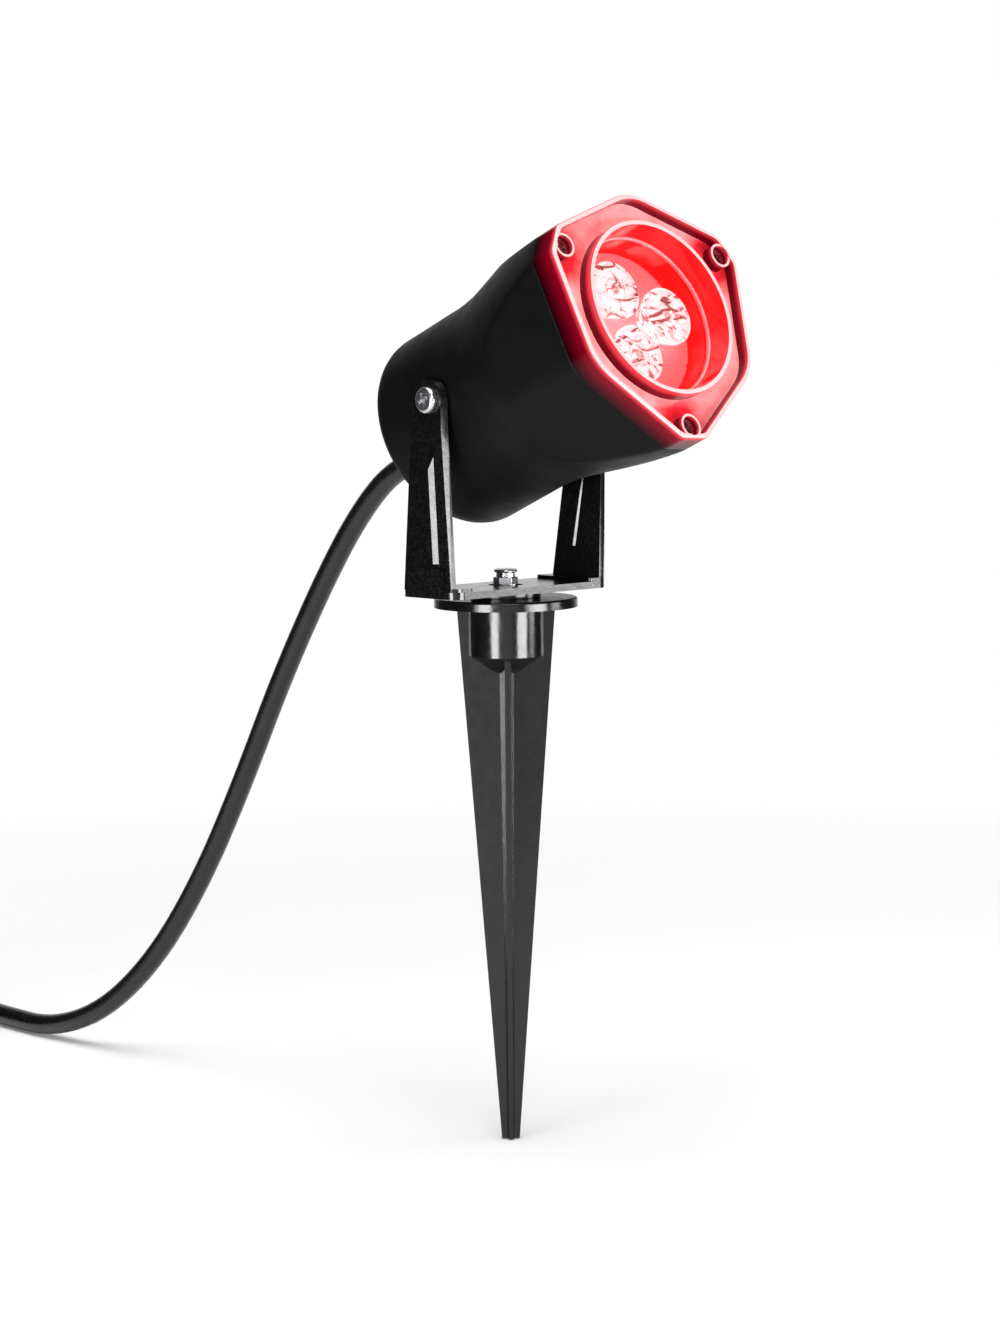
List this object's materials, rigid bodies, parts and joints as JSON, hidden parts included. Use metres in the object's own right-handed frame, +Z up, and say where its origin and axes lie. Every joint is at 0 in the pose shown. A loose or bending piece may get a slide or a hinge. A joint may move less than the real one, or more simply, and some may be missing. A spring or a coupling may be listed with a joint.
{
  "type": "light projector stake",
  "caption": "Garden light projector: tilting lamp head with a faceted red lens in a U-shaped yoke on a ribbed ground stake, with supply cord and plug.",
  "frame": {"origin": "tip of the ground stake, on the stake's axis", "axes": "+Z up along the stake; the lamp head looks along -Y, tilted up; +X is along the tilt axis, to the right seen from the front"},
  "size_m": [0.1236, 0.47, 0.3073],
  "materials": {
    "stake_plastic": "glossy black moulded plastic with faint flow marks",
    "yoke_plastic": "glossy black moulded plastic",
    "body_plastic": "fine-textured matt black plastic",
    "lens_red": "clear red polycarbonate",
    "zinc_steel": "zinc-plated steel",
    "nylon_black": "black nylon",
    "seal_rubber": "black silicone",
    "red_cup": "glossy red plastic reflector",
    "white_plastic": "white nylon",
    "clear_optic": "clear acrylic",
    "led_white": "white ceramic package with a yellowish dome",
    "board_white": "white solder mask",
    "board_green": "green solder mask",
    "heat_aluminium": "plain cast aluminium",
    "transformer_tape": "yellow tape over copper winding",
    "cap_red": "dipped red-brown epoxy",
    "cap_sleeve": "dark blue sleeve",
    "wire_white": "white insulation",
    "wire_black": "black insulation",
    "cord_pvc": "black round PVC cord jacket",
    "blade_brass": "nickel-washed brass"
  },
  "bodies": {
    "stake": {"ground_stake": "stake_plastic", "swivel_bolt": "zinc_steel", "swivel_washer": "nylon_black", "lock_washer": "zinc_steel", "swivel_nut": "zinc_steel", "bolt_cap": "zinc_steel"},
    "yoke": {"yoke": "yoke_plastic", "cord_tube": "cord_pvc", "cord_coil": "cord_pvc", "cord_tail": "cord_pvc", "cord_tie": "nylon_black", "plug_body": "cord_pvc", "plug_blades": "blade_brass"},
    "head": {"rear_housing": "body_plastic", "lens_gasket": "seal_rubber", "lens_cover": "lens_red", "lens_screws": "zinc_steel", "light_cup": "red_cup", "optic_holder": "white_plastic", "collimator_lenses": "clear_optic", "led_emitters": "led_white", "led_board": "board_white", "board_screws": "zinc_steel", "heat_sink": "heat_aluminium", "driver_board": "board_green", "driver_screws": "zinc_steel", "mains_transformer": "transformer_tape", "film_capacitor": "cap_red", "bridge_rectifier": "wire_black", "filter_capacitor": "cap_sleeve", "led_leads": "wire_white", "mains_leads": "wire_black", "cord_gland": "seal_rubber", "cord_end": "cord_pvc", "cord_clamp": "white_plastic", "tilt_screws": "zinc_steel", "tilt_nuts": "zinc_steel", "tilt_washers": "nylon_black"}
  },
  "joints": [
    {"name": "yoke_swivel", "type": "hinge", "parent": "stake", "child": "yoke", "pos_m": [0, 0, 0.1807], "axis": [0, 0, 1], "continuous": true},
    {"name": "head_tilt", "type": "hinge", "parent": "yoke", "child": "head", "pos_m": [0, -0.0038, 0.2439], "axis": [-1, 0, 0], "range_deg": [-30, 30], "deforming": ["cord_tube"]}
  ]
}
